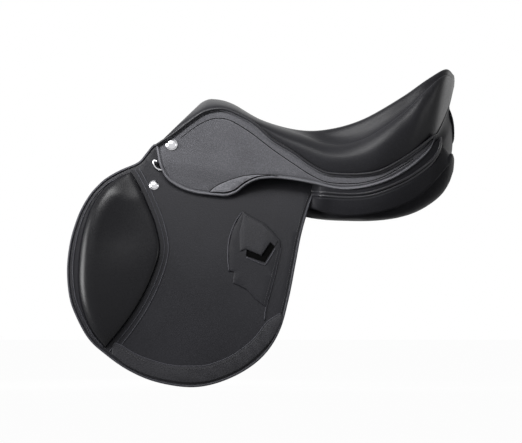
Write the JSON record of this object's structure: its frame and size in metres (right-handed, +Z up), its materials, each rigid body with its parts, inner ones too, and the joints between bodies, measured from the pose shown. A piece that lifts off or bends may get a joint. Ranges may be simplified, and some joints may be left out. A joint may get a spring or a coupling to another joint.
{
  "type": "jumping saddle",
  "caption": "Black leather jumping saddle with lifting flaps and skirts, stirrup bars with catches, girth straps, knee pads and front dees.",
  "frame": {"origin": "on the middle plane, level with the underside of the rear panels, where the saddle rests", "axes": "-X forward to the pommel, +X to the cantle, -Y the left side, +Z up"},
  "size_m": [0.5826, 0.3652, 0.4774],
  "materials": {
    "smooth_leather": "smooth, softly glossy black",
    "grained_leather": "grained, matte black",
    "plain_leather": "plain black, waxed",
    "polished_metal": "polished",
    "steel": "brushed",
    "beech": "bare laminated wood",
    "foam": "open foam",
    "webbing": "woven linen"
  },
  "bodies": {
    "saddle": {"cantle_facing": "smooth_leather", "catch_pins": "steel", "girth_webs": "webbing", "gullet_lining": "smooth_leather", "head_plate": "steel", "left_flap_top": "smooth_leather", "left_knee_block": "plain_leather", "left_panel": "smooth_leather", "left_panel_facing": "smooth_leather", "left_panel_welt": "smooth_leather", "left_point_pocket": "plain_leather", "left_skirt_band": "grained_leather", "left_stirrup_bar": "steel", "left_sweat_flap": "plain_leather", "left_thigh_block": "plain_leather", "nailheads": "polished_metal", "rear_loop": "smooth_leather", "right_flap_top": "smooth_leather", "right_knee_block": "plain_leather", "right_panel": "smooth_leather", "right_panel_facing": "smooth_leather", "right_panel_welt": "smooth_leather", "right_point_pocket": "plain_leather", "right_skirt_band": "grained_leather", "right_stirrup_bar": "steel", "right_sweat_flap": "plain_leather", "right_thigh_block": "plain_leather", "seat_cover": "smooth_leather", "seat_foam": "foam", "seat_webbing": "webbing", "seat_welt": "smooth_leather", "stirrup_bar_rivets": "steel", "tree": "beech", "tree_springs": "steel"},
    "left_flap_body": {"left_flap": "smooth_leather", "left_knee_pad": "smooth_leather", "left_wear_band": "grained_leather", "left_keeper": "grained_leather", "left_flap_stud": "polished_metal", "left_dee_chape": "smooth_leather"},
    "left_skirt_body": {"left_skirt": "grained_leather", "left_skirt_patch": "grained_leather"},
    "left_dee_body": {"left_dee": "polished_metal"},
    "left_catch_body": {"left_bar_catch": "steel"},
    "left_front_strap_body": {"left_front_strap": "plain_leather"},
    "left_rear_strap_body": {"left_rear_strap": "plain_leather"},
    "right_flap_body": {"right_flap": "smooth_leather", "right_knee_pad": "smooth_leather", "right_wear_band": "grained_leather", "right_keeper": "grained_leather", "right_flap_stud": "polished_metal", "right_dee_chape": "smooth_leather"},
    "right_skirt_body": {"right_skirt": "grained_leather", "right_skirt_patch": "grained_leather"},
    "right_dee_body": {"right_dee": "polished_metal"},
    "right_catch_body": {"right_bar_catch": "steel"},
    "right_front_strap_body": {"right_front_strap": "plain_leather"},
    "right_rear_strap_body": {"right_rear_strap": "plain_leather"}
  },
  "joints": [
    {"name": "left_flap_lift", "type": "hinge", "parent": "saddle", "child": "left_flap_body", "pos_m": [-0.05174, -0.114, 0.07873], "axis": [-0.98, 0.0857, 0.1794], "range_deg": [0, 58]},
    {"name": "left_skirt_lift", "type": "hinge", "parent": "left_flap_body", "child": "left_skirt_body", "pos_m": [-0.05174, -0.114, 0.07873], "axis": [-0.98, 0.0857, 0.1794], "range_deg": [0, 40]},
    {"name": "left_dee_swing", "type": "hinge", "parent": "left_flap_body", "child": "left_dee_body", "pos_m": [-0.15114, -0.10283, 0.08997], "axis": [-0.98, 0.0857, 0.1794], "range_deg": [0, 6]},
    {"name": "left_catch_turn", "type": "hinge", "parent": "saddle", "child": "left_catch_body", "pos_m": [-0.04532, -0.11456, 0.07756], "axis": [-0.0872, -0.9962, 0], "range_deg": [0, 70]},
    {"name": "left_front_strap_swing", "type": "hinge", "parent": "saddle", "child": "left_front_strap_body", "pos_m": [-0.08775, -0.10181, 0.04338], "axis": [-0.0872, -0.9962, 0], "range_deg": [-6, 1]},
    {"name": "left_rear_strap_swing", "type": "hinge", "parent": "saddle", "child": "left_rear_strap_body", "pos_m": [-0.05051, -0.10507, 0.03657], "axis": [-0.0872, -0.9962, 0], "range_deg": [-1, 4]},
    {"name": "right_flap_lift", "type": "hinge", "parent": "saddle", "child": "right_flap_body", "pos_m": [-0.05174, 0.114, 0.07873], "axis": [0.98, 0.0857, -0.1794], "range_deg": [0, 58]},
    {"name": "right_skirt_lift", "type": "hinge", "parent": "right_flap_body", "child": "right_skirt_body", "pos_m": [-0.05174, 0.114, 0.07873], "axis": [0.98, 0.0857, -0.1794], "range_deg": [0, 40]},
    {"name": "right_dee_swing", "type": "hinge", "parent": "right_flap_body", "child": "right_dee_body", "pos_m": [-0.15114, 0.10283, 0.08997], "axis": [0.98, 0.0857, -0.1794], "range_deg": [0, 6]},
    {"name": "right_catch_turn", "type": "hinge", "parent": "saddle", "child": "right_catch_body", "pos_m": [-0.04532, 0.11456, 0.07756], "axis": [0.0872, -0.9962, 0], "range_deg": [0, 70]},
    {"name": "right_front_strap_swing", "type": "hinge", "parent": "saddle", "child": "right_front_strap_body", "pos_m": [-0.08775, 0.10181, 0.04338], "axis": [0.0872, -0.9962, 0], "range_deg": [-6, 1]},
    {"name": "right_rear_strap_swing", "type": "hinge", "parent": "saddle", "child": "right_rear_strap_body", "pos_m": [-0.05051, 0.10507, 0.03657], "axis": [0.0872, -0.9962, 0], "range_deg": [-1, 4]}
  ]
}
